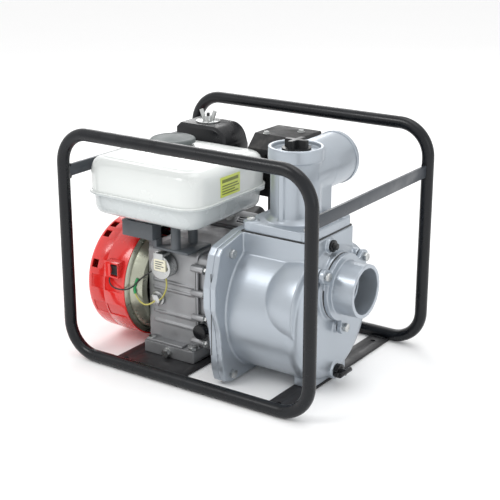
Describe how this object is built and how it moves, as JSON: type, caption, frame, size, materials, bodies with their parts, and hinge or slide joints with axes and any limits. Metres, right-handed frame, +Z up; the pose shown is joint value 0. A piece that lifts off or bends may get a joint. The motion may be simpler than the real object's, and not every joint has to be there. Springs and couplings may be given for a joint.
{
  "type": "engine pump",
  "caption": "Self-priming centrifugal pump driven by a small horizontal-shaft engine, both carried in a welded tube frame with suction pipe, discharge elbow, fuel tank and recoil starter.",
  "frame": {"origin": "on the ground under the middle of the tube frame", "axes": "+X along the crankshaft towards the suction port, +Y towards the cylinder head and muffler, +Z up"},
  "size_m": [0.5102, 0.3972, 0.4133],
  "materials": {
    "frame_black": "satin black paint on steel tube",
    "crossbar_gray": "satin grey paint",
    "plate_black": "semi-matt black paint",
    "engine_alu": "die-cast, blasted grey",
    "pump_alu": "die-cast with silver paint",
    "red_cover": "gloss red enamel",
    "black_steel": "matt heat-proof black",
    "muffler_steel": "heat-proof dark paint",
    "black_plastic": "moulded, fine texture",
    "tank_white": "white enamel",
    "cap_gray": "grey coated steel",
    "zinc": "bright zinc plate",
    "zinc_yellow": "yellow-passivated zinc",
    "bracket_gray": "grey paint",
    "steel": "ground steel",
    "bare_alu": "machined",
    "cast_iron": "as cast",
    "dark_steel": "oiled steel",
    "pulley_nylon": "nylon",
    "rubber": "matt",
    "seal_carbon": "carbon and rubber",
    "filter_foam": "pleated paper",
    "rope": "braided cord",
    "ceramic": "glazed",
    "lead_cover": "yellow-green sleeving"
  },
  "bodies": {
    "base": {"frame_loop_near": "frame_black", "frame_loop_far": "frame_black", "crossbars": "crossbar_gray", "engine_base_plate": "plate_black", "pump_base_plate": "plate_black", "crankcase": "engine_alu", "side_cover": "engine_alu", "main_bearings": "steel", "cylinder_head": "engine_alu", "rocker_cover": "black_steel", "valves": "steel", "piston": "bare_alu", "spark_plug": "ceramic", "plug_cap": "black_plastic", "fan_housing": "red_cover", "recoil_cover": "red_cover", "ignition_coil": "black_plastic", "switch_housing": "red_cover", "carburetor": "engine_alu", "air_cleaner_base": "black_plastic", "air_cleaner_cover": "black_plastic", "air_filter": "filter_foam", "muffler": "muffler_steel", "muffler_guard": "black_steel", "fuel_tank_upper": "tank_white", "fuel_tank_lower": "tank_white", "tank_brackets": "bracket_gray", "oil_plugs": "zinc", "oil_alert_unit": "zinc", "side_shroud": "zinc_yellow", "leads": "lead_cover", "pump_bracket": "pump_alu", "seal_seat": "seal_carbon", "volute": "cast_iron", "pump_casing": "pump_alu", "gaskets": "rubber", "discharge_elbow": "pump_alu", "suction_port": "pump_alu", "bolts": "zinc", "recoil_spring": "steel"},
    "crank": {"crankshaft": "steel", "flywheel": "cast_iron", "starter_cup": "dark_steel", "impeller": "cast_iron"},
    "rod": {"connecting_rod": "bare_alu"},
    "cam": {"camshaft": "steel"},
    "pulley": {"recoil_pulley": "pulley_nylon"},
    "grip": {"recoil_rope": "rope", "recoil_grip": "black_plastic"},
    "switch": {"switch_rocker": "black_plastic"},
    "choke": {"choke_lever": "black_plastic"},
    "fuel_valve": {"fuel_lever": "black_plastic"},
    "throttle": {"throttle_lever": "zinc"},
    "cleaner_nut": {"air_cleaner_nut": "zinc"},
    "cap": {"fuel_cap": "cap_gray"},
    "dipstick": {"oil_dipstick": "black_plastic"},
    "priming": {"priming_plug": "black_plastic"},
    "drain": {"drain_plug": "black_plastic"},
    "vent": {"vent_plug": "black_plastic"},
    "flap": {"check_flap": "rubber"}
  },
  "joints": [
    {"name": "crank_spin", "type": "hinge", "parent": "base", "child": "crank", "pos_m": [0, -0.03, 0.111], "axis": [1, 0, 0], "continuous": true},
    {"name": "rod_swing", "type": "hinge", "parent": "crank", "child": "rod", "pos_m": [-0.092, -0.00961, 0.12051], "axis": [1, 0, 0], "continuous": true},
    {"name": "cam_spin", "type": "hinge", "parent": "base", "child": "cam", "pos_m": [0, 0.01255, 0.07775], "axis": [1, 0, 0], "continuous": true},
    {"name": "starter_pull", "type": "slide", "parent": "base", "child": "grip", "axis": [0, 1, 0], "range_m": [0, 0.08], "stiffness_N_per_m": 60, "springref_m": -0.1},
    {"name": "pulley_spin", "type": "hinge", "parent": "base", "child": "pulley", "pos_m": [0, -0.03, 0.111], "axis": [1, 0, 0], "range_deg": [-103, 0]},
    {"name": "switch_rock", "type": "hinge", "parent": "base", "child": "switch", "pos_m": [-0.182, -0.135, 0.155], "axis": [1, 0, 0], "range_deg": [-10, 10]},
    {"name": "choke_turn", "type": "hinge", "parent": "base", "child": "choke", "pos_m": [-0.16, 0.114, 0.2], "axis": [0, 0, 1], "range_deg": [0, 60]},
    {"name": "fuel_turn", "type": "hinge", "parent": "base", "child": "fuel_valve", "pos_m": [-0.158, 0.122, 0.162], "axis": [0, 1, 0], "range_deg": [0, 90]},
    {"name": "throttle_turn", "type": "hinge", "parent": "base", "child": "throttle", "pos_m": [-0.13, 0.112, 0.24], "axis": [0, 0, 1], "range_deg": [0, 50]},
    {"name": "cleaner_nut_turn", "type": "hinge", "parent": "base", "child": "cleaner_nut", "pos_m": [-0.16, 0.108, 0.38], "axis": [0, 0, 1], "range_deg": [0, 360]},
    {"name": "fuel_cap_turn", "type": "hinge", "parent": "base", "child": "cap", "pos_m": [-0.15, -0.01, 0.36], "axis": [0, 0, 1], "range_deg": [0, 90]},
    {"name": "dipstick_turn", "type": "hinge", "parent": "base", "child": "dipstick", "pos_m": [-0.022, -0.095, 0.067], "axis": [0, -1, 0], "range_deg": [0, 360]},
    {"name": "priming_plug_turn", "type": "hinge", "parent": "base", "child": "priming", "pos_m": [0.117, -0.03, 0.385], "axis": [0, 0, 1], "range_deg": [0, 360]},
    {"name": "drain_plug_turn", "type": "hinge", "parent": "base", "child": "drain", "pos_m": [0.2, -0.03, 0.024], "axis": [1, 0, 0], "range_deg": [0, 360]},
    {"name": "vent_plug_turn", "type": "hinge", "parent": "base", "child": "vent", "pos_m": [0.19, -0.04, 0.243], "axis": [1, 0, 0], "range_deg": [0, 360]},
    {"name": "flap_swing", "type": "hinge", "parent": "base", "child": "flap", "pos_m": [0.201, -0.03, 0.211], "axis": [0, 1, 0], "range_deg": [0, 50]}
  ],
  "couplings": [
    {"joint": "rod_swing", "follows": "crank_spin", "ratio": -1},
    {"joint": "cam_spin", "follows": "crank_spin", "ratio": -0.5},
    {"joint": "pulley_spin", "follows": "starter_pull", "rad_per_m": -22.222}
  ]
}
